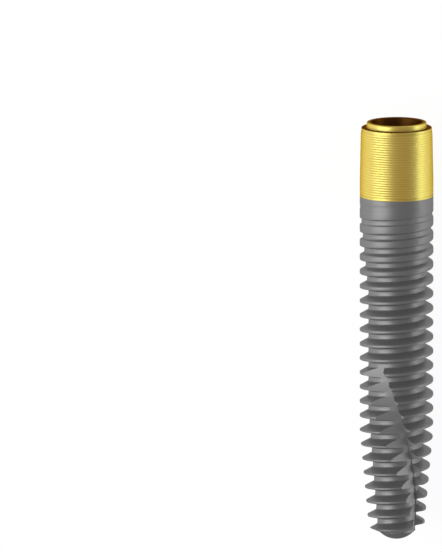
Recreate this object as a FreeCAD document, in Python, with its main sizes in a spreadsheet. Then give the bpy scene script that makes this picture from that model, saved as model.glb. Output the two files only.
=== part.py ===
import FreeCAD, Part
import math
import os
import Sketcher

# Dental implant: one threaded fixture turned from a titanium bar, with a stepped platform, a smooth
# collar, a buttress thread that deepens towards the apex, two helical cutting flutes and a domed tip.
# It lies on its side. Its axis runs along Y, the open platform faces +Y and the apex faces -Y. The
# origin is on the floor, below the middle of its length. Lengths are in millimetres and angles in
# degrees. A station is a distance along the axis, from the top of the rim towards the apex.

SIZES = {
    # Platform and collar
    "overall_length": 23.58,
    "rim_radius": 1.665,
    "rim_height": 0.30,
    "rim_chamfer": 0.06,
    "shoulder_radius": 1.96,
    "collar_radius": 2.00,
    "collar_bevel": 0.42,
    "collar_taper_end": 3.27,
    # Threaded shank
    "body_radius": 2.05,
    "crest_taper_start": 17.48,
    "crest_taper_angle": 5.2,
    # Domed tip
    "tip_chamfer": 0.26,
    "dome_edge_radius": 0.97,
    "dome_height": 0.427,
    # Thread groove
    "thread_pitch": 0.81,
    "groove_depth": 0.487,
    "groove_land": 0.28,
    "groove_height": 0.64,
    "platform_wall_angle": 13.0,
    "apex_wall_angle": 29.0,
    "full_depth_station": 9.61,
    "run_in_angle": 5.5,
    "straight_turns": 8,
    "root_taper_angle": 4.4,
    # Cutting flutes
    "flute_count": 2,
    "flute_start": 13.55,
    "flute_lead": 29.2,
    "flute_start_angle": -27.5,
    "flute_corner_depth": 0.05,
    "flute_hook": 0.12,
    "flute_reach": 2.5,
    # Socket for the abutment
    "mouth_radius": 1.37,
    "lead_in_radius": 1.25,
    "lead_in_depth": 0.70,
    "hexagon_across_flats": 2.10,
    "hexagon_depth": 2.40,
    "screw_hole_radius": 0.80,
    "screw_hole_depth": 7.00,
    "drill_tip_height": 0.48,
}

doc = FreeCAD.newDocument("dental_implant")

sheet = doc.addObject("Spreadsheet::Sheet", "Sizes")
for row, (alias, value) in enumerate(SIZES.items(), start=1):
    sheet.set(f"A{row}", alias)
    sheet.set(f"B{row}", str(value))
    sheet.setAlias(f"B{row}", alias)
doc.recompute()

# Places along the axis and radii that follow from the sizes
MIDDLE = "Sizes.overall_length / 2"
ROOT_RADIUS = "(Sizes.body_radius - Sizes.groove_depth)"
TAPER_STATION = "(Sizes.full_depth_station + Sizes.straight_turns * Sizes.thread_pitch)"
DOME_STATION = "(Sizes.overall_length - Sizes.dome_height)"
CREST_END_STATION = f"({DOME_STATION} - Sizes.tip_chamfer)"


def along(station):
    """Height of a station in a sketch whose upright axis is the implant's axis."""
    return f"{MIDDLE} - {station}"


def value_of(expression):
    """Present value of an expression of the sheet's sizes."""
    value = sheet.evalExpression(expression)
    return float(getattr(value, "Value", value))


def origin_feature(body, role):
    """Origin plane or axis of a body, by its role."""
    return next(feature for feature in body.Origin.OriginFeatures if feature.Role == role)


def new_sketch(body, name, role):
    """Empty sketch on one of the body's own origin planes."""
    sketch = body.newObject("Sketcher::SketchObject", name)
    sketch.AttachmentSupport = [(origin_feature(body, role), "")]
    sketch.MapMode = "FlatFace"
    return sketch


def draw_outline(sketch, corners, arc_centres=None):
    """Closes an outline through corners, each a pair of expressions bound to the sheet.

    A side is a straight line, or an arc where arc_centres gives the expression of its centre's
    first coordinate under the number of the corner that it starts from.
    """
    arc_centres = arc_centres or {}
    places = [FreeCAD.Vector(value_of(x), value_of(y), 0) for x, y in corners]
    for number, start in enumerate(places):
        end = places[(number + 1) % len(places)]
        if number in arc_centres:
            side = arc_between(start, end, value_of(arc_centres[number]))
        else:
            side = Part.LineSegment(start, end)
        sketch.addGeometry(side, False)
    for number, (x, y) in enumerate(corners):
        # An arc runs anticlockwise, so here its second end is the side's start.
        start_end = 2 if number in arc_centres else 1
        previous = (number - 1) % len(corners)
        previous_end = 1 if previous in arc_centres else 2
        sketch.addConstraint(Sketcher.Constraint("Coincident", number, start_end, previous, previous_end))
        bind_place(sketch, "DistanceX", f"corner_{number}_x", number, start_end, x)
        bind_place(sketch, "DistanceY", f"corner_{number}_y", number, start_end, y)
    for number, centre_x in arc_centres.items():
        bind_place(sketch, "DistanceX", f"centre_{number}_x", number, 3, centre_x)


def bind_place(sketch, kind, name, side, point, expression):
    """Holds one coordinate of a point of a sketch at an expression."""
    value = value_of(expression)
    number = sketch.addConstraint(Sketcher.Constraint(kind, -1, 1, side, point, value))
    sketch.renameConstraint(number, name)
    sketch.setExpression(f"Constraints.{name}", expression)


def arc_between(start, end, centre_x):
    """Clockwise arc from start to end about a centre with a known first coordinate."""
    run = end.x - start.x
    rise = end.y - start.y
    middle = (start + end) / 2
    centre_y = middle.y + (middle.x - centre_x) * run / rise
    centre = FreeCAD.Vector(centre_x, centre_y, 0)
    circle = Part.Circle(centre, FreeCAD.Vector(0, 0, 1), (start - centre).Length)
    return Part.ArcOfCircle(circle, circle.parameter(end), circle.parameter(start))


def cut_volume(feature, name):
    """Recomputes and stops where a cut took nothing away."""
    before = feature.BaseFeature.Shape.Volume
    doc.recompute()
    taken = before - feature.Shape.Volume
    print(f"{name} takes away {taken:.3f} cubic mm")
    if taken <= 0:
        raise RuntimeError(f"{name} cuts nothing")


def turn_blank(body):
    """Outer form as it leaves the lathe, before the thread is cut."""
    crest_end_radius = (
        f"Sizes.body_radius - ({CREST_END_STATION} - Sizes.crest_taper_start)"
        " * tan(Sizes.crest_taper_angle)"
    )
    sketch = new_sketch(body, "BlankOutline", "XY_Plane")
    corners = [
        ("0", along("0")),
        ("Sizes.rim_radius - Sizes.rim_chamfer", along("0")),
        ("Sizes.rim_radius", along("Sizes.rim_chamfer")),
        ("Sizes.rim_radius", along("Sizes.rim_height")),
        ("Sizes.shoulder_radius", along("Sizes.rim_height")),
        ("Sizes.collar_radius", along("(Sizes.rim_height + Sizes.collar_bevel)")),
        ("Sizes.body_radius", along("Sizes.collar_taper_end")),
        ("Sizes.body_radius", along("Sizes.crest_taper_start")),
        (crest_end_radius, along(CREST_END_STATION)),
        ("Sizes.dome_edge_radius", along(DOME_STATION)),
        ("0", along("Sizes.overall_length")),
    ]
    dome_side = len(corners) - 2
    draw_outline(sketch, corners, {dome_side: "0"})
    blank = body.newObject("PartDesign::Revolution", "Blank")
    blank.Profile = sketch
    blank.ReferenceAxis = (sketch, ["V_Axis"])
    blank.Angle = 360
    doc.recompute()


def bore_socket(body):
    """Conical lead-in and blind screw hole, turned on the axis from the mouth."""
    sketch = new_sketch(body, "SocketOutline", "XY_Plane")
    drill_tip = "(Sizes.screw_hole_depth + Sizes.drill_tip_height)"
    corners = [
        ("0", along("0")),
        ("Sizes.mouth_radius", along("0")),
        ("Sizes.lead_in_radius", along("Sizes.lead_in_depth")),
        ("Sizes.screw_hole_radius", along("Sizes.lead_in_depth")),
        ("Sizes.screw_hole_radius", along("Sizes.screw_hole_depth")),
        ("0", along(drill_tip)),
    ]
    draw_outline(sketch, corners)
    socket = body.newObject("PartDesign::Groove", "Socket")
    socket.Profile = sketch
    socket.ReferenceAxis = (sketch, ["V_Axis"])
    socket.Angle = 360
    cut_volume(socket, "The socket")


def cut_hexagon(body):
    """Internal hexagon that keeps an abutment from turning, below the lead-in cone."""
    sketch = new_sketch(body, "HexagonOutline", "XZ_Plane")
    sketch.setExpression("AttachmentOffset.Base.z", f"Sizes.lead_in_depth - {MIDDLE}")
    corner_radius = "Sizes.hexagon_across_flats / 2 / cos(30)"
    corners = [
        (f"{corner_radius} * cos({60 * side})", f"{corner_radius} * sin({60 * side})")
        for side in range(6)
    ]
    draw_outline(sketch, corners)
    hexagon = body.newObject("PartDesign::Pocket", "Hexagon")
    hexagon.Profile = sketch
    hexagon.Reversed = True
    hexagon.setExpression("Length", "Sizes.hexagon_depth - Sizes.lead_in_depth")
    cut_volume(hexagon, "The hexagon")


def groove_sketch(body, name, station, root_radius):
    """Section of the thread groove at its left side in the drawing, with the land at a station.

    The wall nearer the platform stands almost square to the axis and the other one slopes, which
    leaves ridges of buttress form between the turns.
    """
    sketch = new_sketch(body, name, "XY_Plane")
    outer = f"-({root_radius} + Sizes.groove_height)"
    platform_side = f"{along(station)} + Sizes.groove_land / 2"
    apex_side = f"{along(station)} - Sizes.groove_land / 2"
    corners = [
        (f"-({root_radius})", platform_side),
        (outer, f"{platform_side} + Sizes.groove_height * tan(Sizes.platform_wall_angle)"),
        (outer, f"{apex_side} - Sizes.groove_height * tan(Sizes.apex_wall_angle)"),
        (f"-({root_radius})", apex_side),
    ]
    draw_outline(sketch, corners)
    return sketch


def helical_cut(body, name, sketch, left_handed, to_apex, sizes):
    """Sweeps a section along a helix about the axis and cuts it out of the body."""
    cut = body.newObject("PartDesign::SubtractiveHelix", name)
    cut.Profile = sketch
    cut.ReferenceAxis = (origin_feature(body, "Y_Axis"), [""])
    cut.Mode = "pitch-height-angle"
    cut.LeftHanded = left_handed
    cut.Reversed = to_apex
    for size, expression in sizes.items():
        cut.setExpression(size, expression)
    cut_volume(cut, name)
    return cut


def cut_straight_thread(body):
    """The groove's middle run, all at full depth."""
    section = groove_sketch(body, "StraightSection", "Sizes.full_depth_station", ROOT_RADIUS)
    sizes = {"Pitch": "Sizes.thread_pitch", "Height": "Sizes.straight_turns * Sizes.thread_pitch"}
    helical_cut(body, "StraightThread", section, False, True, sizes)


def cut_cone_thread(body, name, station, to_apex, angle, turns):
    """A run of the groove whose root lies on a cone, cut turn by turn away from a station."""
    sign = "+" if to_apex else "-"
    opposite = "-" if to_apex else "+"
    for turn in range(turns):
        gone = f"{turn} * Sizes.thread_pitch"
        root_radius = f"{ROOT_RADIUS} {opposite} {gone} * tan({angle})"
        section = groove_sketch(body, f"{name}Section{turn}", f"({station} {sign} {gone})", root_radius)
        sizes = {
            "Pitch": "Sizes.thread_pitch",
            "Height": "Sizes.thread_pitch",
            "Angle": f"{opposite}{angle}",
        }
        helical_cut(body, f"{name}Thread{turn}", section, False, to_apex, sizes)


def cut_thread(body):
    """Right-hand groove in three runs: it sinks in along a cone, runs straight, then tapers."""
    pitch = value_of("Sizes.thread_pitch")
    run_in = value_of("Sizes.groove_depth / tan(Sizes.run_in_angle)")
    taper = value_of(f"{DOME_STATION} - {TAPER_STATION}")
    cut_straight_thread(body)
    full_depth = "Sizes.full_depth_station"
    cut_cone_thread(body, "RunIn", full_depth, False, "Sizes.run_in_angle", math.ceil(run_in / pitch))
    cut_cone_thread(body, "Taper", TAPER_STATION, True, "Sizes.root_taper_angle", math.ceil(taper / pitch))


def flute_sketch(body, name, station, turned):
    """Section of a cutting flute, square to the axis, with its corner turned about the axis.

    Its floor is tangent to the circle through the corner, just below the thread's root, and its
    steep wall leans back a little, so that the cut ridges end in hooked edges.
    """
    sketch = new_sketch(body, name, "XZ_Plane")
    sketch.setExpression("AttachmentOffset.Base.z", f"{station} - {MIDDLE}")
    sketch.setExpression("AttachmentOffset.Rotation.Angle", f"-({turned})")
    floor = f"{ROOT_RADIUS} - Sizes.flute_corner_depth"
    corners = [
        ("0", floor),
        ("-Sizes.flute_reach", floor),
        ("-Sizes.flute_reach", f"{floor} + Sizes.flute_reach"),
        ("Sizes.flute_hook", f"{floor} + Sizes.flute_reach"),
    ]
    draw_outline(sketch, corners)
    return sketch


def cut_flutes(body):
    """Left-hand cutting flutes, straight and then tapered with the thread's root, to the tip."""
    upper_length = f"({TAPER_STATION} - Sizes.flute_start)"
    upper = flute_sketch(body, "FluteSection", "Sizes.flute_start", "Sizes.flute_start_angle")
    straight = {"Pitch": "Sizes.flute_lead", "Height": upper_length}
    upper_flute = helical_cut(body, "UpperFlute", upper, True, True, straight)
    turned = f"Sizes.flute_start_angle + 360 * {upper_length} / Sizes.flute_lead"
    lower = flute_sketch(body, "TaperFluteSection", TAPER_STATION, turned)
    taper = {
        "Pitch": "Sizes.flute_lead",
        "Height": f"Sizes.overall_length - {TAPER_STATION} + Sizes.dome_edge_radius",
        "Angle": "-Sizes.root_taper_angle",
    }
    lower_flute = helical_cut(body, "LowerFlute", lower, True, True, taper)
    pattern = body.newObject("PartDesign::PolarPattern", "Flutes")
    pattern.Originals = [upper_flute, lower_flute]
    pattern.Axis = (origin_feature(body, "Y_Axis"), [""])
    pattern.Angle = 360
    pattern.setExpression("Occurrences", "Sizes.flute_count")
    body.Tip = pattern
    doc.recompute()


implant_fixture = doc.addObject("PartDesign::Body", "implant_fixture")
implant_fixture.Label = "implant_fixture"
implant_fixture.setExpression("Placement.Base.z", "Sizes.body_radius")
turn_blank(implant_fixture)
bore_socket(implant_fixture)
cut_hexagon(implant_fixture)
cut_thread(implant_fixture)
cut_flutes(implant_fixture)
doc.recompute()

for item in doc.Objects:
    if "Invalid" in item.State or "Error" in item.State:
        raise RuntimeError(f"{item.Label} failed: {item.State}")
if implant_fixture.Shape.isNull() or not implant_fixture.Shape.isValid():
    raise RuntimeError("implant_fixture has no valid shape")
if len(implant_fixture.Shape.Solids) != 1:
    raise RuntimeError("implant_fixture is not one solid")

os.makedirs("parts", exist_ok=True)
implant_fixture.Shape.exportStep(f"parts/{implant_fixture.Label}.step")
print(f"implant_fixture: {implant_fixture.Shape.Volume:.2f} cubic mm")
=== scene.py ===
"""Looks of a dental implant: a one-piece titanium fixture that lies on a white floor.

Its axis runs along Y, the open platform faces +Y and the apex faces -Y. Meshes are built in
millimetres about the Y axis and brought to the frame's metres at the end. A station is a distance
along the axis from the top of the rim towards the apex. An angle round the axis is measured from
straight up towards +X.
"""

import logging
import math
from dataclasses import dataclass, field
from enum import Enum, IntEnum
from typing import Any, Callable, Iterable, Sequence

import bmesh
import bpy
from mathutils import Matrix, Vector


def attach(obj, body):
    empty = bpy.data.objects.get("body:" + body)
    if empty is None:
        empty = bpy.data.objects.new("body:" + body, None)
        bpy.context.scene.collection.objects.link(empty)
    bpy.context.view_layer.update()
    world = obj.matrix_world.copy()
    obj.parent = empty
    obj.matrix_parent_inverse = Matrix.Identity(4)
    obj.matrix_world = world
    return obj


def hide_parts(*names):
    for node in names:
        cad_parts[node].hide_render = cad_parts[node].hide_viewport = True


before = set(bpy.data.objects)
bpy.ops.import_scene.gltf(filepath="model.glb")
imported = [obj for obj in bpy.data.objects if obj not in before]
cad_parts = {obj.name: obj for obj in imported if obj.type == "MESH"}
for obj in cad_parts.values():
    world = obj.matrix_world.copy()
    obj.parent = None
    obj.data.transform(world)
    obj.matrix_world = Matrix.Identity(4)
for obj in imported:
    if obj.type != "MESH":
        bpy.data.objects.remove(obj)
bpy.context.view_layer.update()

log = logging.getLogger("implant")

MM = 0.001
LENGTH = 23.58
AXIS_HEIGHT = 2.05
NODE = "implant_fixture"
# Points that are nearer to each other than this are one point. A pole is a circle so small that it
# becomes one.
MERGE_MM = 1e-5
POLE_MM = MERGE_MM / 4
# Edges that turn by more than this are shaded as sharp ones.
SHARP_DEGREES = 32.0
# Share of a side that the rounding of one of its corners may take.
CORNER_REACH = 0.48
# Period of the wave texture's bands where its scale is 1.
WAVE_PERIOD = math.pi / 10


class Slot(Enum):
    """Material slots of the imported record."""

    BLASTED = "blasted_titanium"
    ANODISED = "anodised_titanium"


class Cut(IntEnum):
    """Material slots of the blanks, which tell what made a face."""

    BLANK = 0
    MILLED = 1
    TURNED = 2


# Helpers for colours, nodes and outlines


def linear(hex_colour: str) -> tuple[float, float, float, float]:
    """Turns an sRGB hex colour into the linear values that a shader takes.

    Args:
        hex_colour: Colour such as "#9c9da0".

    Returns:
        Linear red, green, blue and an alpha of 1.
    """
    values = [int(hex_colour[place:place + 2], 16) / 255 for place in (1, 3, 5)]
    red, green, blue = (
        value / 12.92 if value <= 0.04045 else ((value + 0.055) / 1.055) ** 2.4 for value in values
    )
    return red, green, blue, 1.0


def add_node(
    tree: bpy.types.NodeTree,
    kind: str,
    settings: dict[str, Any] | None = None,
    inputs: dict[str | int, Any] | None = None,
) -> bpy.types.Node:
    """Adds a node with its settings, values and links.

    Args:
        tree: Node tree that gets the node.
        kind: Type name of the node.
        settings: Attribute values of the node.
        inputs: A value or another node's output socket for each input, by name or number.

    Returns:
        The new node.
    """
    node = tree.nodes.new(kind)
    for name, value in (settings or {}).items():
        setattr(node, name, value)
    for name, value in (inputs or {}).items():
        if isinstance(value, bpy.types.NodeSocket):
            tree.links.new(value, node.inputs[name])
        else:
            node.inputs[name].default_value = value
    return node


def new_material(name: str) -> tuple[bpy.types.Material, bpy.types.NodeTree]:
    """Makes an empty node material.

    Args:
        name: Name of the finish.

    Returns:
        The material and its cleared node tree.
    """
    material = bpy.data.materials.new(name)
    material.use_nodes = True
    material.node_tree.nodes.clear()
    return material, material.node_tree


def rounded_corner(
    before: Vector, corner: Vector, after: Vector, radius: float, count: int
) -> list[Vector]:
    """Rounds one corner of an outline.

    Args:
        before: The outline's point before the corner.
        corner: The sharp corner.
        after: The outline's point after the corner.
        radius: Wanted radius, made smaller where the sides are too short for it.
        count: Number of points on the arc.

    Returns:
        Points of the arc, from the side of before to the side of after.
    """
    to_before, to_after = before - corner, after - corner
    half = to_before.angle(to_after) / 2
    shorter = min(to_before.length, to_after.length)
    reach = min(radius / math.tan(half), CORNER_REACH * shorter)
    start = corner + to_before.normalized() * reach
    end = corner + to_after.normalized() * reach
    middle = (to_before.normalized() + to_after.normalized()).normalized()
    centre = corner + middle * (reach / math.cos(half))
    spokes = [(start - centre).slerp(end - centre, step / (count - 1)) for step in range(count)]
    return [centre + spoke.normalized() * (start - centre).length for spoke in spokes]


# Finishes


@dataclass(frozen=True)
class BlastedTitanium:
    """Grade 4 titanium, grit blasted and acid etched.

    The blast leaves pits of some tens of micrometres, which scatter the light, so the grey metal
    shows broad soft highlights and no sharp reflection. The crests of the thread are painted a
    little darker, as painted shade that tones down their highlight. The flutes are milled after
    the blast, so their faces are lighter, and the marks of the mill widen what they mirror. The
    tip is turned smooth and is painted darker, as painted shade.
    """

    grey: str = "#9c9c9c"
    pit_grey: str = "#8e8e8e"
    # Painted shade: the thread's crests are drawn darker to tone down their highlight.
    crest_painted_shade_grey: str = "#929292"
    milled_grey: str = "#a6a6a6"
    # Painted shade: the turned tip is drawn darker.
    tip_painted_shade_grey: str = "#707070"
    roughness: float = 0.45
    milled_roughness: float = 0.60
    # Light that the pits pass from wall to wall leaves them in all directions.
    scattered_share: float = 0.38
    milled_scattered_share: float = 0.25
    # At a flat angle the walls of the pits shade each other.
    edge_tint: str = "#c4c4c4"
    # Real pits are about 0.02 mm wide. They are drawn three times as wide, because a pixel of the
    # render covers 0.056 mm.
    pit_mm: float = 0.06
    pit_height_mm: float = 0.004
    pit_relief: float = 0.5
    pit_detail: float = 2.0
    pit_sharpness: float = 0.6
    pit_contrast: tuple[float, float] = (0.35, 0.65)
    cloud_mm: float = 1.6
    cloud_detail: float = 3.0
    cloud_contrast: tuple[float, float] = (0.3, 0.7)
    cloud_share: float = 0.35

    def build(self) -> bpy.types.Material:
        """Makes the material.

        Returns:
            The blasted grey metal.
        """
        material, tree = new_material("blasted_titanium_grade_4")
        place = add_node(tree, "ShaderNodeTexCoord").outputs["Object"]
        pits = add_node(tree, "ShaderNodeTexNoise", {}, {
            "Vector": place, "Scale": 1 / (self.pit_mm * MM), "Detail": self.pit_detail,
            "Roughness": self.pit_sharpness,
        })
        clouds = add_node(tree, "ShaderNodeTexNoise", {}, {
            "Vector": place, "Scale": 1 / (self.cloud_mm * MM), "Detail": self.cloud_detail,
        })
        grain = add_node(tree, "ShaderNodeMapRange", {}, {
            "Value": pits.outputs["Fac"], "From Min": self.pit_contrast[0],
            "From Max": self.pit_contrast[1],
        })
        cloud = add_node(tree, "ShaderNodeMapRange", {}, {
            "Value": clouds.outputs["Fac"], "From Min": self.cloud_contrast[0],
            "From Max": self.cloud_contrast[1], "To Max": self.cloud_share,
        })
        crest, milled, turned = (
            add_node(tree, "ShaderNodeAttribute", {"attribute_name": name}).outputs["Fac"]
            for name in ("crest", "milled", "turned_tip")
        )
        colour: Any = linear(self.pit_grey)
        # The crest and tip colours lay painted shade over the grey metal.
        for share, laid_over in (
            (grain.outputs["Result"], self.grey),
            (cloud.outputs["Result"], self.grey),
            (crest, self.crest_painted_shade_grey),
            (milled, self.milled_grey),
            (turned, self.tip_painted_shade_grey),
        ):
            colour = add_node(tree, "ShaderNodeMix", {"data_type": "RGBA"}, {
                "Factor": share, "A": colour, "B": linear(laid_over),
            }).outputs["Result"]
        roughness, scattered_share = (
            add_node(tree, "ShaderNodeMapRange", {}, {
                "Value": milled, "To Min": blasted, "To Max": cut,
            }).outputs["Result"]
            for blasted, cut in (
                (self.roughness, self.milled_roughness),
                (self.scattered_share, self.milled_scattered_share),
            )
        )
        bump = add_node(tree, "ShaderNodeBump", {}, {
            "Strength": self.pit_relief, "Distance": self.pit_height_mm * MM,
            "Height": pits.outputs["Fac"],
        })
        metal = add_node(tree, "ShaderNodeBsdfPrincipled", {}, {
            "Base Color": colour, "Metallic": 1.0, "Roughness": roughness,
            "Specular Tint": linear(self.edge_tint), "Normal": bump.outputs["Normal"],
        })
        matt = add_node(tree, "ShaderNodeBsdfDiffuse", {}, {
            "Color": colour, "Normal": bump.outputs["Normal"],
        })
        shader = add_node(tree, "ShaderNodeMixShader", {}, {
            "Fac": scattered_share, 1: metal.outputs["BSDF"], 2: matt.outputs["BSDF"],
        })
        add_node(tree, "ShaderNodeOutputMaterial", {}, {"Surface": shader.outputs["Shader"]})
        return material


@dataclass(frozen=True)
class GoldAnodisedTitanium:
    """Turned titanium with an anodised oxide film.

    The clear film gives a golden interference colour, which is pale where it mirrors a lamp and
    turns to amber in the light that the turned surface scatters. A dark colour is laid over the
    film as painted shade in the socket and on the ledge below the rim, and less of it on the rim's
    top and in the grooves between the rings.
    """

    gold: str = "#faf68c"
    gold_cloud: str = "#f7f284"
    amber: str = "#ff9400"
    amber_cloud: str = "#fb8e00"
    # Painted shade: this dark colour is laid in the socket, on the ledge, on the rim's top and in
    # the grooves between the rings.
    brown: str = "#5e3a16"
    roughness: float = 0.40
    scattered_share: float = 0.27
    # The film's colour turns to brown at a flat angle.
    edge_tint: str = "#947238"
    # Turning marks follow the tool's feed of 0.03 mm. They are drawn at 0.07 mm, just above one
    # pixel of the render.
    feed_mm: float = 0.07
    feed_height_mm: float = 0.0015
    feed_relief: float = 0.4
    feed_wander: float = 0.2
    feed_detail: float = 1.0
    feed_detail_scale: float = 1.5
    film_cloud_mm: float = 1.3
    film_contrast: tuple[float, float] = (0.3, 0.7)

    def build(self) -> bpy.types.Material:
        """Makes the material.

        Returns:
            The gold anodised metal.
        """
        material, tree = new_material("gold_anodised_turned_titanium")
        place = add_node(tree, "ShaderNodeTexCoord").outputs["Object"]
        clouds = add_node(tree, "ShaderNodeTexNoise", {}, {
            "Vector": place, "Scale": 1 / (self.film_cloud_mm * MM),
        })
        bands = {"wave_type": "BANDS", "bands_direction": "Y"}
        marks = add_node(tree, "ShaderNodeTexWave", bands, {
            "Vector": place, "Scale": WAVE_PERIOD / (self.feed_mm * MM),
            "Distortion": self.feed_wander, "Detail": self.feed_detail,
            "Detail Scale": self.feed_detail_scale,
        })
        film = add_node(tree, "ShaderNodeMapRange", {}, {
            "Value": clouds.outputs["Fac"], "From Min": self.film_contrast[0],
            "From Max": self.film_contrast[1],
        })
        bump = add_node(tree, "ShaderNodeBump", {}, {
            "Strength": self.feed_relief, "Distance": self.feed_height_mm * MM,
            "Height": marks.outputs["Fac"],
        })
        # Mixes in the painted shade of the socket, the ledge, the rim's top and the grooves.
        brown = add_node(tree, "ShaderNodeAttribute", {"attribute_name": "painted_shade_share"})
        mirrored, scattered = (
            add_node(tree, "ShaderNodeMix", {"data_type": "RGBA"}, {
                "Factor": brown.outputs["Fac"],
                "A": add_node(tree, "ShaderNodeMix", {"data_type": "RGBA"}, {
                    "Factor": film.outputs["Result"], "A": linear(colour), "B": linear(cloud),
                }).outputs["Result"],
                "B": linear(self.brown),
            }).outputs["Result"]
            for colour, cloud in ((self.gold, self.gold_cloud), (self.amber, self.amber_cloud))
        )
        metal = add_node(tree, "ShaderNodeBsdfPrincipled", {}, {
            "Base Color": mirrored, "Metallic": 1.0, "Roughness": self.roughness,
            "Specular Tint": linear(self.edge_tint), "Normal": bump.outputs["Normal"],
        })
        matt = add_node(tree, "ShaderNodeBsdfDiffuse", {}, {
            "Color": scattered, "Normal": bump.outputs["Normal"],
        })
        shader = add_node(tree, "ShaderNodeMixShader", {}, {
            "Fac": self.scattered_share, 1: metal.outputs["BSDF"], 2: matt.outputs["BSDF"],
        })
        add_node(tree, "ShaderNodeOutputMaterial", {}, {"Surface": shader.outputs["Shader"]})
        return material


@dataclass(frozen=True)
class WhitePaper:
    """Matt white paper of the studio floor, which keeps the object's soft shadow.

    Attributes:
        white: Colour for the light that the paper gives to the implant.
        own_light: Radiance where the paper is looked at or mirrored.
        shadow_share: Colour of the part that still takes shadows there.
    """

    white: str = "#f4f4f4"
    own_light: float = 0.94
    shadow_share: str = "#5f5f5f"

    def build(self) -> bpy.types.Material:
        """Makes the material.

        Returns:
            White paper, lifted to white for camera, glossy and transmission rays.
        """
        material, tree = new_material("white_paper")
        path = add_node(tree, "ShaderNodeLightPath")
        seen = path.outputs["Is Camera Ray"]
        for ray in ("Is Glossy Ray", "Is Transmission Ray"):
            seen = add_node(tree, "ShaderNodeMath", {"operation": "MAXIMUM"}, {
                0: seen, 1: path.outputs[ray],
            }).outputs["Value"]
        matt = add_node(tree, "ShaderNodeBsdfDiffuse", {}, {"Color": linear(self.white)})
        shadow = add_node(tree, "ShaderNodeBsdfDiffuse", {}, {"Color": linear(self.shadow_share)})
        glow = add_node(tree, "ShaderNodeEmission", {}, {"Strength": self.own_light})
        lifted = add_node(tree, "ShaderNodeAddShader", {}, {
            0: shadow.outputs["BSDF"], 1: glow.outputs["Emission"],
        })
        mixed = add_node(tree, "ShaderNodeMixShader", {}, {
            "Fac": seen, 1: matt.outputs["BSDF"], 2: lifted.outputs["Shader"],
        })
        add_node(tree, "ShaderNodeOutputMaterial", {}, {"Surface": mixed.outputs["Shader"]})
        return material


# Turned pieces


@dataclass
class TurnedPiece:
    """A piece turned about the implant's axis.

    Attributes:
        name: Name of the piece.
        slot: Slot of the record that the piece's finish belongs to. It is not used.
        overall_length: Length of the whole implant.
        body_radius: Greatest radius, which the axis lies above the floor.
        segments: Number of sides of a full turn, a multiple of six for the hexagon.
        collar_end: Station at which the gold collar ends and the grey shank starts.
        screw_hole_radius: Radius of the blind hole that goes through the collar into the shank.
    """

    name: str = "turned_piece"
    slot: Slot = Slot.BLASTED
    overall_length: float = LENGTH
    body_radius: float = AXIS_HEIGHT
    segments: int = 96
    collar_end: float = 4.16
    screw_hole_radius: float = 0.80

    def height(self, station: float) -> float:
        """Gives the Y coordinate of a station."""
        return self.overall_length / 2 - station

    def station(self, place: Vector) -> float:
        """Gives the station of a place."""
        return self.overall_length / 2 - place.y

    def place(self, radius: float, angle: float, station: float) -> Vector:
        """Gives the place at a radius, an angle round the axis and a station."""
        return Vector((radius * math.sin(angle), self.height(station), radius * math.cos(angle)))

    def first_loop(
        self, mesh: bmesh.types.BMesh, radius: float, station: float
    ) -> list[bmesh.types.BMEdge]:
        """Draws the circle that a turned surface starts from.

        Args:
            mesh: Empty mesh that gets the circle.
            radius: Radius of the circle.
            station: Its station.

        Returns:
            The circle's edges.
        """
        lift = Matrix.Translation((0, self.height(station), 0))
        bmesh.ops.create_circle(
            mesh, segments=self.segments, radius=radius,
            matrix=lift @ Matrix.Rotation(math.pi / 2, 4, "X"),
        )
        return list(mesh.edges)

    def next_loop(
        self,
        mesh: bmesh.types.BMesh,
        edges: list[bmesh.types.BMEdge],
        radius: float | Callable[[float], float],
        station: float,
    ) -> list[bmesh.types.BMEdge]:
        """Extrudes a loop to another radius and station.

        Args:
            mesh: Mesh that holds the loop.
            edges: The loop's edges.
            radius: New radius, or a function of the angle round the axis that gives it.
            station: New station.

        Returns:
            The new loop's edges.
        """
        grown = bmesh.ops.extrude_edge_only(mesh, edges=edges)["geom"]
        for vert in grown:
            if isinstance(vert, bmesh.types.BMVert):
                angle = math.atan2(vert.co.x, vert.co.z)
                reach = radius(angle) if callable(radius) else radius
                vert.co = self.place(reach, angle, station)
        return [edge for edge in grown if isinstance(edge, bmesh.types.BMEdge)]

    def finish_piece(
        self, mesh: bmesh.types.BMesh, material: bpy.types.Material
    ) -> bpy.types.Object:
        """Closes a mesh, brings it to its place in metres and puts it on the frame.

        Args:
            mesh: The built mesh in millimetres, which is freed.
            material: Finish of the whole piece.

        Returns:
            The piece, riding on the frame.
        """
        bmesh.ops.remove_doubles(mesh, verts=mesh.verts, dist=MERGE_MM)
        bmesh.ops.dissolve_degenerate(mesh, edges=mesh.edges, dist=MERGE_MM)
        bmesh.ops.recalc_face_normals(mesh, faces=mesh.faces)
        for face in mesh.faces:
            face.smooth = True
        for edge in mesh.edges:
            edge.smooth = edge.calc_face_angle(0.0) < math.radians(SHARP_DEGREES)
        to_frame = Matrix.Scale(MM, 4) @ Matrix.Translation((0, 0, self.body_radius))
        bmesh.ops.transform(mesh, matrix=to_frame, verts=mesh.verts)
        data = bpy.data.meshes.new(self.name)
        mesh.to_mesh(data)
        mesh.free()
        data.materials.append(material)
        piece = bpy.data.objects.new(self.name, data)
        bpy.context.scene.collection.objects.link(piece)
        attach(piece, "root")
        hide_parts(NODE)
        return piece


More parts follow.
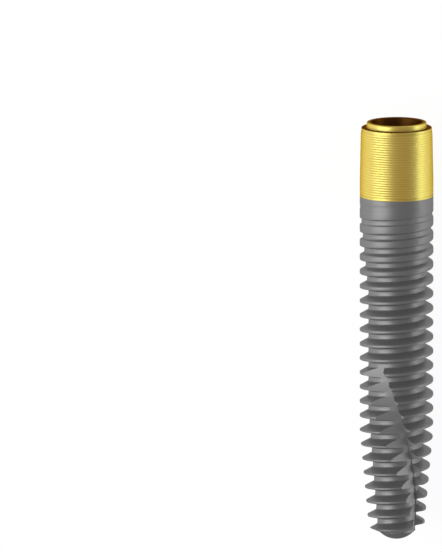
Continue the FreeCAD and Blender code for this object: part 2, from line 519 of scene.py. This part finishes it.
@dataclass
class AnodisedCollar(TurnedPiece):
    """Gold collar with the stepped rim, fine rings round it and the socket for the abutment.

    Attributes:
        rim_foot: Radius of the rim where its small fillet meets the ledge.
        rim_foot_height: Height of that fillet.
        ring_steps: Number of steps from one groove between the rings to the next.
        corner_points: Number of points on a rounded corner.
        painted_shade_reach: Reach along the axis of the painted shade on the rim's top and ledge.
        ledge_painted_shade: Share of painted shade on the ledge.
        rim_painted_shade: Share of painted shade on the rim's top.
        groove_painted_shade: Share of painted shade between two rings.
    """

    name: str = "anodised_collar"
    slot: Slot = Slot.ANODISED
    rim_radius: float = 1.665
    rim_height: float = 0.30
    rim_rounding: float = 0.06
    rim_foot: float = 1.685
    rim_foot_height: float = 0.02
    shoulder_radius: float = 1.96
    shoulder_rounding: float = 0.05
    collar_radius: float = 2.00
    collar_bevel: float = 0.42
    collar_taper_end: float = 3.27
    end_bevel: float = 0.03
    ring_pitch: float = 0.135
    ring_start: float = 0.50
    ring_count: int = 26
    ring_depth: float = 0.017
    ring_steps: int = 6
    mouth_radius: float = 1.37
    mouth_bevel: float = 0.03
    lead_in_radius: float = 1.25
    lead_in_depth: float = 0.70
    hexagon_across_flats: float = 2.10
    hexagon_depth: float = 2.40
    corner_points: int = 5
    # Painted shade: how far and how strongly the dark colour is laid on the rim's top, the ledge
    # and the grooves.
    painted_shade_reach: float = 0.016
    ledge_painted_shade: float = 0.9
    rim_painted_shade: float = 0.5
    groove_painted_shade: float = 0.24

    def hexagon(self, angle: float) -> float:
        """Gives the hexagon's radius at an angle round the axis."""
        side = math.pi / 3
        off_middle = (angle % side) - side / 2
        return self.hexagon_across_flats / 2 / math.cos(off_middle)

    def outer_radius(self, station: float) -> float:
        """Gives the collar's smooth outer radius at a station below the shoulder."""
        bevel_end = self.rim_height + self.collar_bevel
        if station < bevel_end:
            share = (station - self.rim_height) / self.collar_bevel
            return self.shoulder_radius + share * (self.collar_radius - self.shoulder_radius)
        share = min(1.0, (station - bevel_end) / (self.collar_taper_end - bevel_end))
        return self.collar_radius + share * (self.body_radius - self.collar_radius)

    def ringed_outline(self) -> Iterable[tuple[float, float]]:
        """Yields radius and station of the rounded ribs, with a narrow groove between two."""
        for step in range(self.ring_count * self.ring_steps + 1):
            station = self.ring_start + step * self.ring_pitch / self.ring_steps
            rib = abs(math.sin(math.pi * step / self.ring_steps))
            yield self.outer_radius(station) - self.ring_depth * (1 - rib), station

    def outline(self) -> Iterable[tuple[float | Callable[[float], float], float]]:
        """Yields radius and station of every loop, from the screw hole to the collar's end."""
        hole = self.screw_hole_radius
        rim, shoulder = self.rim_radius, self.shoulder_radius
        rim_corner = rounded_corner(
            Vector((self.mouth_radius, 0)), Vector((rim, 0)), Vector((rim, self.rim_height)),
            self.rim_rounding, self.corner_points,
        )
        shoulder_corner = rounded_corner(
            Vector((rim, self.rim_height)),
            Vector((shoulder, self.rim_height)),
            Vector((self.outer_radius(self.ring_start), self.ring_start)),
            self.shoulder_rounding, self.corner_points,
        )
        yield hole, self.hexagon_depth
        yield self.hexagon, self.hexagon_depth
        yield self.hexagon, self.lead_in_depth
        yield self.lead_in_radius, self.lead_in_depth
        yield self.mouth_radius, self.mouth_bevel
        yield self.mouth_radius + self.mouth_bevel, 0.0
        yield from ((point.x, point.y) for point in rim_corner)
        yield rim, self.rim_height - self.rim_foot_height
        yield self.rim_foot, self.rim_height
        yield from ((point.x, point.y) for point in shoulder_corner)
        yield from self.ringed_outline()
        yield self.outer_radius(self.collar_end), self.collar_end - self.end_bevel
        yield self.outer_radius(self.collar_end) - self.end_bevel / 2, self.collar_end
        yield hole, self.collar_end

    def painted_shade_share(self, radius: float, station: float) -> float:
        """Gives the share of the painted shade.

        Args:
            radius: Distance from the axis.
            station: Station on the collar.

        Returns:
            1 in the socket, less on the rim's top, on the ledge and between the rings, else 0.
        """
        # The socket, the rim's top, the ledge and the grooves get painted shade.
        if radius < self.mouth_radius + self.mouth_bevel + MERGE_MM:
            return 1.0
        if station < self.painted_shade_reach:
            return self.rim_painted_shade
        if radius > self.rim_radius and abs(station - self.rim_height) < self.painted_shade_reach:
            return self.ledge_painted_shade
        ring = (station - self.ring_start) / self.ring_pitch
        half_step = 1 / (2 * self.ring_steps)
        in_groove = 0 < ring < self.ring_count and abs(ring - round(ring)) < half_step
        return self.groove_painted_shade if in_groove else 0.0

    def build(self, material: bpy.types.Material) -> bpy.types.Object:
        """Turns the collar and its socket.

        Args:
            material: Gold finish of the collar.

        Returns:
            The collar piece.
        """
        mesh = bmesh.new()
        edges = self.first_loop(mesh, self.screw_hole_radius, self.collar_end)
        for radius, station in self.outline():
            edges = self.next_loop(mesh, edges, radius, station)
        # Stores each point's share of painted shade.
        brown = mesh.verts.layers.float.new("painted_shade_share")
        for vert in mesh.verts:
            vert[brown] = self.painted_shade_share(math.hypot(vert.co.x, vert.co.z), self.station(vert.co))
        return self.finish_piece(mesh, material)


@dataclass
class CuttingFlute:
    """Helical cutting flute that opens the thread at the apex.

    Its floor is tangent to a circle just below the thread's root, and its steep wall leans back a
    little, so the cut ridges end in hooked edges.

    Attributes:
        start: Station at which the flute starts.
        lead: Length along the axis of a full turn.
        start_angle: Angle of the corner round the axis at the start, in degrees.
        corner_radius: Distance from the axis to the corner between the floor and the steep wall.
        hook: Sideways lean of the steep wall over its whole reach.
        reach: Width and height of the section, which lie well outside the implant.
        lip: Height of the small chamfer along the top of the steep wall.
        length: Length along the axis, which goes past the tip.
        steps: Number of steps along the flute.
    """

    start: float = 13.55
    lead: float = 29.2
    start_angle: float = -27.5
    corner_radius: float = 1.513
    hook: float = 0.12
    reach: float = 2.5
    lip: float = 0.12
    length: float = 11.2
    steps: int = 120

    def build(self, implant: "ThreadedShank", turned: float) -> bmesh.types.BMesh:
        """Sweeps the flute's section along its left-hand helix.

        Args:
            implant: The piece that it cuts, for its stations, its crests and its root's taper.
            turned: Turn of this flute round the axis, in degrees.

        Returns:
            The closed cutting body, in millimetres.
        """
        mesh = bmesh.new()
        mark = mesh.verts.layers.int.new("lip")
        lip_rise = implant.body_radius - self.lip - self.corner_radius
        lip_side = self.hook * lip_rise / self.reach
        corners = (
            (0, 0), (-self.reach, 0), (-self.reach, self.reach),
            (lip_side + self.reach - lip_rise, self.reach), (lip_side, lip_rise),
        )
        verts = [
            mesh.verts.new((side, implant.height(self.start), self.corner_radius + rise))
            for side, rise in corners
        ]
        for vert in verts[-2:]:
            vert[mark] = 1
        face = mesh.faces.new(verts)
        sweep = 2 * math.pi * self.length / self.lead
        bmesh.ops.spin(
            mesh, geom=[face, *face.edges, *face.verts], cent=(0, 0, 0), axis=(0, 1, 0),
            dvec=(0, -self.length / self.steps, 0), angle=sweep, steps=self.steps,
            use_merge=False, use_normal_flip=False, use_duplicate=False,
        )
        slope = math.tan(math.radians(implant.root_taper_angle))
        for vert in mesh.verts:
            station = implant.station(vert.co)
            angle = 2 * math.pi * (station - self.start) / self.lead
            sunk = max(0.0, station - implant.root_taper_start) * slope
            if vert[mark]:
                sunk = implant.body_radius - implant.crest_radius(station)
            vert.co -= Vector((math.sin(angle), 0, math.cos(angle))) * sunk
        round_axis = Matrix.Rotation(math.radians(self.start_angle + turned), 3, "Y")
        bmesh.ops.rotate(mesh, cent=(0, 0, 0), matrix=round_axis, verts=mesh.verts)
        bmesh.ops.recalc_face_normals(mesh, faces=mesh.faces)
        for face in mesh.faces:
            face.material_index = Cut.MILLED
        return mesh


@dataclass
class ThreadedShank(TurnedPiece):
    """Grey shank with the buttress thread, the two cutting flutes and the domed tip.

    Attributes:
        neck_step: Step in radius from the collar down to the neck.
        groove_land: Width of the flat root between two ridges.
        full_depth_station: Station from which the groove has its full depth.
        run_in_angle: Slope of the root where the groove runs in.
        least_depth: Depth of the groove at the neck, where it has all but run out.
        first_turn: Turn of the helix with which the surface starts, counted from full depth.
        last_turn: Turn with which it ends.
        trim_station: Station at which the rod is cut off before its tip is turned.
        edge_rounds: Rounds in which a wall's end on the tapered crest is found.
        fillet_points: Number of points on a rounding of the section.
        apex_fillet_points: Number of points on the wide rounding below the flat wall.
        form_reach: How far the tip's form goes out from the axis.
        form_length: How far it goes past the tip.
        dome_steps: Number of steps from the dome's edge to its pole.
    """

    name: str = "threaded_shank"
    slot: Slot = Slot.BLASTED
    neck_step: float = 0.015
    crest_taper_start: float = 17.48
    crest_taper_angle: float = 5.2
    tip_chamfer: float = 0.26
    dome_edge_radius: float = 0.97
    dome_height: float = 0.427
    thread_pitch: float = 0.81
    root_radius: float = 1.563
    groove_land: float = 0.28
    platform_wall_angle: float = 13.0
    apex_wall_angle: float = 29.0
    full_depth_station: float = 9.61
    run_in_angle: float = 5.5
    root_taper_start: float = 16.09
    root_taper_angle: float = 4.4
    least_depth: float = 0.004
    crest_rounding: float = 0.085
    platform_fillet: float = 0.06
    apex_fillet: float = 0.16
    first_turn: int = -8
    last_turn: int = 19
    trim_station: float = 23.72
    edge_rounds: int = 8
    fillet_points: int = 4
    apex_fillet_points: int = 5
    screw_hole_depth: float = 7.00
    drill_tip_height: float = 0.48
    form_reach: float = 3.0
    form_length: float = 1.0
    dome_steps: int = 14
    flute: CuttingFlute = field(default_factory=CuttingFlute)
    flute_count: int = 2

    def crest_radius(self, station: float) -> float:
        """Gives the radius of the thread's crests at a station."""
        taper = max(0.0, station - self.crest_taper_start)
        return self.body_radius - taper * math.tan(math.radians(self.crest_taper_angle))

    def groove_root(self, station: float) -> float:
        """Gives the radius of the groove's root where its middle is at a station."""
        run_in = max(0.0, self.full_depth_station - station)
        taper = max(0.0, station - self.root_taper_start)
        root = (
            self.root_radius
            + run_in * math.tan(math.radians(self.run_in_angle))
            - taper * math.tan(math.radians(self.root_taper_angle))
        )
        return min(root, self.body_radius - self.least_depth)

    def crest_edge(self, turn: float, side: int) -> Vector:
        """Finds where a wall of the groove meets the crest.

        Args:
            turn: Place along the helix, in turns from the full depth station.
            side: -1 for the wall nearer the platform, 1 for the other one.

        Returns:
            Radius and station of the crest's edge.
        """
        middle = self.full_depth_station + turn * self.thread_pitch
        angle = self.platform_wall_angle if side < 0 else self.apex_wall_angle
        slope = side * math.tan(math.radians(angle))
        root = self.groove_root(middle)
        foot = middle + side * self.groove_land / 2
        rise = 0.0
        for _ in range(self.edge_rounds):
            rise = self.crest_radius(foot + rise * slope) - root
        return Vector((root + rise, foot + rise * slope))

    def section(self, turn: float) -> list[Vector]:
        """Draws the thread's section over one pitch, from crest to crest.

        Args:
            turn: Place along the helix, in turns from the full depth station.

        Returns:
            Radius and station of each point, as many at every turn.
        """
        middle = self.full_depth_station + turn * self.thread_pitch
        root = self.groove_root(middle)
        upper_edge, lower_edge = self.crest_edge(turn, -1), self.crest_edge(turn, 1)
        start = (self.crest_edge(turn - 1, 1) + upper_edge) / 2
        end = (lower_edge + self.crest_edge(turn + 1, -1)) / 2
        upper_foot = Vector((root, middle - self.groove_land / 2))
        lower_foot = Vector((root, middle + self.groove_land / 2))
        land_middle = Vector((root, middle))
        points = [start]
        count, apex_count = self.fillet_points, self.apex_fillet_points
        points += rounded_corner(start, upper_edge, upper_foot, self.crest_rounding, count)
        points += rounded_corner(upper_edge, upper_foot, land_middle, self.platform_fillet, count)
        points += [land_middle]
        points += rounded_corner(land_middle, lower_foot, lower_edge, self.apex_fillet, apex_count)
        points += rounded_corner(lower_foot, lower_edge, end, self.crest_rounding, count)
        points += [end]
        return points

    def thread_surface(self) -> bmesh.types.BMesh:
        """Winds the section along the right-hand helix and gives each turn its depth.

        Returns:
            The open helical surface, from above the shank's start to below the tip.
        """
        mesh = bmesh.new()
        mark = mesh.verts.layers.int.new("section_point")
        pattern = self.section(0.0)
        start = self.first_turn * self.thread_pitch
        verts = []
        for number, point in enumerate(pattern):
            vert = mesh.verts.new((0, self.height(start + point.y), point.x))
            vert[mark] = number
            verts.append(vert)
        edges = [mesh.edges.new(pair) for pair in zip(verts, verts[1:])]
        quarter_turn = Matrix.Rotation(-math.pi / 2, 3, "Y")
        bmesh.ops.rotate(mesh, cent=(0, 0, 0), matrix=quarter_turn, verts=verts)
        bmesh.ops.spin(
            mesh, geom=verts + edges, cent=(0, 0, 0), axis=(0, 1, 0),
            dvec=(0, -self.thread_pitch / self.segments, 0), angle=-2 * math.pi,
            steps=self.segments, use_merge=False, use_normal_flip=False, use_duplicate=False,
        )
        one_turn = [*mesh.verts, *mesh.edges, *mesh.faces]
        for turn in range(1, self.last_turn - self.first_turn):
            copy = bmesh.ops.duplicate(mesh, geom=one_turn)["geom"]
            verts = [item for item in copy if isinstance(item, bmesh.types.BMVert)]
            bmesh.ops.translate(mesh, verts=verts, vec=(0, -turn * self.thread_pitch, 0))
        sections: dict[int, list[Vector]] = {}
        for vert in mesh.verts:
            number = vert[mark]
            turn = (self.station(vert.co) - pattern[number].y) / self.thread_pitch
            step = round((turn - self.first_turn) * self.segments)
            if step not in sections:
                sections[step] = self.section(self.first_turn + step / self.segments)
            point = sections[step][number]
            angle = math.atan2(vert.co.x, vert.co.z)
            vert.co = self.place(point.x, angle, point.y)
        bmesh.ops.remove_doubles(mesh, verts=mesh.verts, dist=MERGE_MM)
        return mesh

    def rod(self) -> bmesh.types.BMesh:
        """Closes the thread into a rod, with a flat end below the tip and the screw hole above.

        Returns:
            The closed rod.
        """
        mesh = self.thread_surface()
        for station, outward in ((self.collar_end, 1), (self.trim_station, -1)):
            bmesh.ops.bisect_plane(
                mesh, geom=[*mesh.verts, *mesh.edges, *mesh.faces], dist=MERGE_MM,
                plane_co=(0, self.height(station), 0), plane_no=(0, outward, 0), clear_outer=True,
            )
        ends = [edge for edge in mesh.edges if edge.is_boundary]
        upper = [edge for edge in ends if edge.verts[0].co.y > 0]
        lower = [edge for edge in ends if edge.verts[0].co.y < 0]
        for vert in {vert for edge in upper for vert in edge.verts}:
            for axis in (0, 2):
                vert.co[axis] *= 1 - self.neck_step / self.body_radius
        hole = self.screw_hole_radius
        for radius, station in (
            (hole, self.collar_end),
            (hole, self.screw_hole_depth),
            (POLE_MM, self.screw_hole_depth + self.drill_tip_height),
        ):
            upper = self.next_loop(mesh, upper, radius, station)
        bmesh.ops.edgeloop_fill(mesh, edges=lower)
        bmesh.ops.remove_doubles(mesh, verts=mesh.verts, dist=MERGE_MM)
        bmesh.ops.recalc_face_normals(mesh, faces=mesh.faces)
        return mesh

    def tip_form(self) -> bmesh.types.BMesh:
        """Turns the hollow form that shapes the chamfer and the dome of the tip.

        Returns:
            The closed cutting body.
        """
        outer, below_tip = self.form_reach, self.overall_length + self.form_length
        dome_station = self.overall_length - self.dome_height
        crest_end = dome_station - self.tip_chamfer
        chamfer_slope = self.tip_chamfer / (self.crest_radius(crest_end) - self.dome_edge_radius)
        dome_radius = (self.dome_edge_radius ** 2 + self.dome_height ** 2) / (2 * self.dome_height)
        half = math.asin(self.dome_edge_radius / dome_radius)
        mesh = bmesh.new()
        edges = self.first_loop(mesh, POLE_MM, below_tip)
        edges = self.next_loop(mesh, edges, outer, below_tip)
        edges = self.next_loop(
            mesh, edges, outer, dome_station - chamfer_slope * (outer - self.dome_edge_radius)
        )
        for step in range(self.dome_steps + 1):
            lean = half * (1 - step / self.dome_steps)
            radius = max(dome_radius * math.sin(lean), POLE_MM)
            station = self.overall_length - dome_radius * (1 - math.cos(lean))
            edges = self.next_loop(mesh, edges, radius, station)
        bmesh.ops.remove_doubles(mesh, verts=mesh.verts, dist=MERGE_MM)
        bmesh.ops.recalc_face_normals(mesh, faces=mesh.faces)
        for face in mesh.faces:
            face.material_index = Cut.TURNED
        return mesh

    def build(self, material: bpy.types.Material) -> bpy.types.Object:
        """Cuts the tip and the flutes into the threaded rod.

        Args:
            material: Grey finish of the shank.

        Returns:
            The shank piece.
        """
        cutters = [self.tip_form()]
        for number in range(self.flute_count):
            cutters.append(self.flute.build(self, 360 * number / self.flute_count))
        mesh = cut_away(self.rod(), cutters)
        # Marks the crests, which the finish darkens as painted shade.
        crest = mesh.verts.layers.float.new("crest")
        for vert in mesh.verts:
            radius = math.hypot(vert.co.x, vert.co.z)
            below = self.crest_radius(self.station(vert.co)) - radius
            vert[crest] = max(0.0, 1 - below / self.crest_rounding)
        milled = mesh.faces.layers.float.new("milled")
        # The turned tip's faces get a darker grey in the finish, as painted shade.
        turned = mesh.faces.layers.float.new("turned_tip")
        for face in mesh.faces:
            face[milled] = float(face.material_index == Cut.MILLED)
            face[turned] = float(face.material_index == Cut.TURNED)
            face.material_index = Cut.BLANK
        return self.finish_piece(mesh, material)


def cut_away(body: bmesh.types.BMesh, cutters: Sequence[bmesh.types.BMesh]) -> bmesh.types.BMesh:
    """Takes cutting bodies away from a body.

    Args:
        body: Closed mesh, which is freed.
        cutters: Closed meshes, which are freed.

    Returns:
        The body that is left.
    """
    helpers = []
    for mesh in (body, *cutters):
        data = bpy.data.meshes.new("blank")
        mesh.to_mesh(data)
        mesh.free()
        for _ in Cut:
            data.materials.append(None)
        helpers.append(bpy.data.objects.new("blank", data))
        bpy.context.scene.collection.objects.link(helpers[-1])
    for cutter in helpers[1:]:
        modifier = helpers[0].modifiers.new("cut", "BOOLEAN")
        modifier.operation = "DIFFERENCE"
        modifier.solver = "MANIFOLD"
        modifier.object = cutter
    shown = helpers[0].evaluated_get(bpy.context.evaluated_depsgraph_get())
    result = bmesh.new()
    result.from_mesh(shown.to_mesh())
    shown.to_mesh_clear()
    for helper in helpers:
        data = helper.data
        bpy.data.objects.remove(helper)
        bpy.data.meshes.remove(data)
    return result


# Studio


@dataclass
class Softbox:
    """Flat soft lamp that looks at the implant.

    Attributes:
        name: Name of the lamp.
        lean: Angle round the implant's axis, from straight up towards +X, in degrees.
        distance: Distance from the implant, in metres.
        across: Size round the axis, in metres.
        along: Size along the axis, in metres.
        brightness: Radiance of the lamp's face, where 1 is white.
    """

    name: str
    lean: float
    across: float
    along: float
    brightness: float
    distance: float = 0.5

    def build(self) -> None:
        """Hangs the lamp."""
        data = bpy.data.lights.new(self.name, "AREA")
        data.shape = "RECTANGLE"
        data.size, data.size_y = self.across, self.along
        data.energy = self.brightness * math.pi * self.across * self.along
        lamp = bpy.data.objects.new(self.name, data)
        turn = Matrix.Rotation(math.radians(self.lean), 4, "Y")
        lamp.matrix_world = turn @ Matrix.Translation((0, 0, self.distance))
        bpy.context.scene.collection.objects.link(lamp)


@dataclass
class Studio:
    """White floor, soft lamps, plain grey surroundings and the camera.

    Attributes:
        floor_size: Length of a side of the floor, in metres.
        surroundings: Radiance of the room round the floor, where 1 is white.
        camera_lean: Angle of the camera from straight above, towards the platform, in degrees.
        camera_roll: Clockwise turn of the camera about its line of sight, in degrees.
        lens: Focal length, in millimetres. It is long, as the photograph shows no perspective.
        sensor: Width of the sensor, in millimetres.
        picture: Width and height of the picture, in pixels.
        pixel_mm: Width that one pixel of the picture covers at the implant's axis.
        axis_pixel: Column that the implant's axis crosses at half the picture's height.
        rim_pixel: Row of the picture in which the middle of the rim's top lies.
        clip_ratio: Ratio between the camera's distance and each of its two clip distances.
    """

    floor_size: float = 1.6
    surroundings: float = 0.31
    camera_lean: float = 10.2
    camera_roll: float = 0.112
    lens: float = 900.0
    sensor: float = 36.0
    picture: tuple[int, int] = (442, 552)
    pixel_mm: float = 0.05563
    axis_pixel: float = 396.55
    rim_pixel: float = 122.35
    clip_ratio: float = 100.0
    softboxes: tuple[Softbox, ...] = (
        Softbox("key_softbox", lean=-53, across=0.50, along=0.45, brightness=2.1),
        Softbox("side_softbox", lean=90, across=0.30, along=0.90, brightness=2.0),
    )

    def build_floor(self) -> None:
        """Lays the white floor under the implant."""
        mesh = bmesh.new()
        bmesh.ops.create_grid(mesh, x_segments=1, y_segments=1, size=self.floor_size / 2)
        data = bpy.data.meshes.new("floor")
        mesh.to_mesh(data)
        mesh.free()
        data.materials.append(WhitePaper().build())
        floor = bpy.data.objects.new("floor", data)
        bpy.context.scene.collection.objects.link(floor)

    def build_surroundings(self) -> None:
        """Sets the even light of the room."""
        world = bpy.data.worlds.new("room")
        bpy.context.scene.world = world
        world.use_nodes = True
        tree = world.node_tree
        tree.nodes.clear()
        room = add_node(tree, "ShaderNodeBackground", {}, {"Strength": self.surroundings})
        add_node(tree, "ShaderNodeOutputWorld", {}, {"Surface": room.outputs["Background"]})

    def build_camera(self) -> None:
        """Places the camera above the implant, square to its axis but for a small lean."""
        width, tall = self.picture
        lean = math.radians(self.camera_lean)
        side = (width / 2 - self.axis_pixel) * self.pixel_mm
        station = (tall / 2 - self.rim_pixel) * self.pixel_mm / math.cos(lean)
        aim = Vector((side, LENGTH / 2 - station, AXIS_HEIGHT)) * MM
        distance = tall * self.pixel_mm * MM * self.lens / self.sensor
        data = bpy.data.cameras.new("camera")
        data.lens, data.sensor_width = self.lens, self.sensor
        data.clip_start, data.clip_end = distance / self.clip_ratio, distance * self.clip_ratio
        camera = bpy.data.objects.new("camera", data)
        camera.matrix_world = (
            Matrix.Translation(aim)
            @ Matrix.Rotation(-lean, 4, "X")
            @ Matrix.Rotation(math.radians(-self.camera_roll), 4, "Z")
            @ Matrix.Translation((0, 0, distance))
        )
        bpy.context.scene.collection.objects.link(camera)
        bpy.context.scene.camera = camera

    def build(self) -> None:
        """Sets up the whole studio."""
        self.build_floor()
        self.build_surroundings()
        self.build_camera()
        for softbox in self.softboxes:
            softbox.build()
        bpy.context.scene.view_settings.view_transform = "Standard"


def main() -> None:
    """Builds the implant's two finish zones and the studio."""
    logging.basicConfig(level=logging.INFO, format="%(message)s")
    for assembly, finish in (
        (AnodisedCollar(), GoldAnodisedTitanium()),
        (ThreadedShank(), BlastedTitanium()),
    ):
        piece = assembly.build(finish.build())
        log.info("%s: %d faces", piece.name, len(piece.data.polygons))
    Studio().build()


if __name__ == "__main__":
    main()
